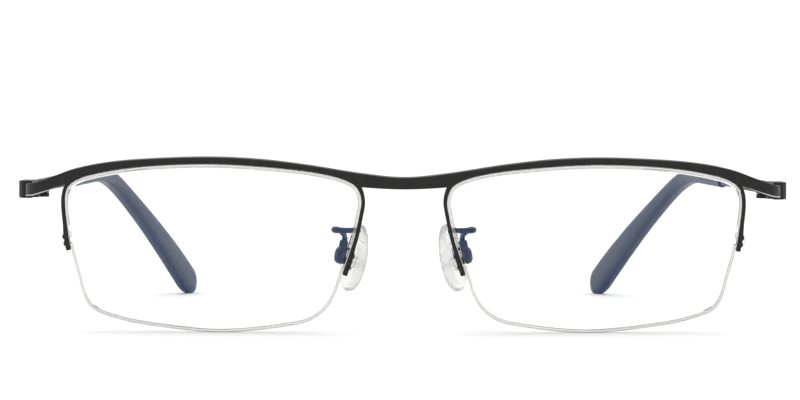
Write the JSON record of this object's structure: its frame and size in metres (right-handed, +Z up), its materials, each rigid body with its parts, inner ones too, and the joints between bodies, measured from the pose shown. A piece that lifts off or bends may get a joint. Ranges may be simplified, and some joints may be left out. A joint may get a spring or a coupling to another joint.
{
  "type": "half rim eyeglasses",
  "caption": "Semi-rimless eyeglasses: slim metal brow bar with half rims, clear cord-held lenses, boxed silicone nose pads and hinged temples with curved plastic tips.",
  "frame": {"origin": "on the table, in the middle of the footprint of the open glasses", "axes": "+X towards the wearer's left, +Y from the front towards the temple tips, +Z up"},
  "size_m": [0.1432, 0.1548, 0.0325],
  "materials": {
    "black_metal": "satin black lacquer on metal",
    "steel": "polished",
    "screw_steel": "darkened",
    "black_plastic": "satin",
    "lens": "clear, polished, coated",
    "nylon": "clear nylon",
    "clear_plastic": "clear moulded",
    "silicone": "clear silicone"
  },
  "bodies": {
    "front": {"front_frame": "black_metal", "left_lens": "lens", "left_lens_cord": "nylon", "left_rim_liner": "nylon", "left_pad_arm": "steel", "left_pad_box": "steel", "left_pad_screw": "steel", "left_hinge_front_leaf": "black_metal", "left_hinge_screw": "screw_steel", "right_lens": "lens", "right_lens_cord": "nylon", "right_rim_liner": "nylon", "right_pad_arm": "steel", "right_pad_box": "steel", "right_pad_screw": "steel", "right_hinge_front_leaf": "black_metal", "right_hinge_screw": "screw_steel"},
    "left_temple": {"left_temple_arm": "black_metal", "left_temple_tip": "black_plastic", "left_hinge_temple_leaf": "black_metal"},
    "right_temple": {"right_temple_arm": "black_metal", "right_temple_tip": "black_plastic", "right_hinge_temple_leaf": "black_metal"},
    "left_pad": {"left_nose_pad": "silicone", "left_pad_insert": "clear_plastic"},
    "right_pad": {"right_nose_pad": "silicone", "right_pad_insert": "clear_plastic"}
  },
  "joints": [
    {"name": "left_temple_fold", "type": "hinge", "parent": "front", "child": "left_temple", "pos_m": [0.067, -0.06109, 0.026], "axis": [0, 0, 1], "range_deg": [0, 81]},
    {"name": "right_temple_fold", "type": "hinge", "parent": "front", "child": "right_temple", "pos_m": [-0.067, -0.06109, 0.026], "axis": [0, 0, -1], "range_deg": [0, 76]},
    {"name": "left_pad_rock", "type": "hinge", "parent": "front", "child": "left_pad", "pos_m": [0.01135, -0.06592, 0.01407], "axis": [0.454, 0.891, 0], "range_deg": [-8, 8]},
    {"name": "right_pad_rock", "type": "hinge", "parent": "front", "child": "right_pad", "pos_m": [-0.01135, -0.06592, 0.01407], "axis": [0.454, -0.891, 0], "range_deg": [-8, 8]}
  ]
}
